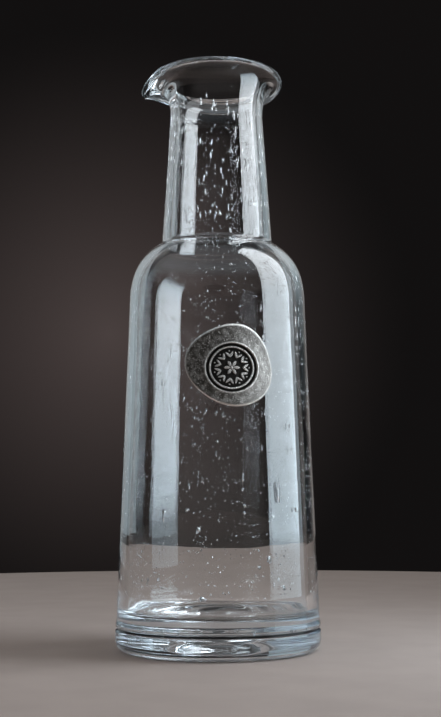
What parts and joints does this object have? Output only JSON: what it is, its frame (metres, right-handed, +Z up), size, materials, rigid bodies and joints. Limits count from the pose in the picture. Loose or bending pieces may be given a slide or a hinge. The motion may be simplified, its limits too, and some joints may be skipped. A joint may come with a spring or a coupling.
{
  "type": "decanter",
  "caption": "Tall clear seeded-glass decanter with a straight tapering body, round shoulder, narrow neck, flared lip with pouring spout, thick foot and a cast pewter seal on the front.",
  "frame": {"origin": "on the table under the middle of the foot, on the vessel's axis", "axes": "+Z up along the vessel's axis, -Y out of the face with the seal, -X towards the pouring spout"},
  "size_m": [0.1012, 0.1012, 0.2887],
  "materials": {
    "body_glass": "clear hand-blown glass with small air bubbles",
    "foot_glass": "clear thick glass, fire polished",
    "pewter": "dark antique patina, edges rubbed bright",
    "adhesive": "clear cured adhesive"
  },
  "bodies": {
    "root": {"blown_body": "body_glass", "applied_foot": "foot_glass", "pewter_seal": "pewter", "adhesive_bond": "adhesive"}
  },
  "joints": []
}
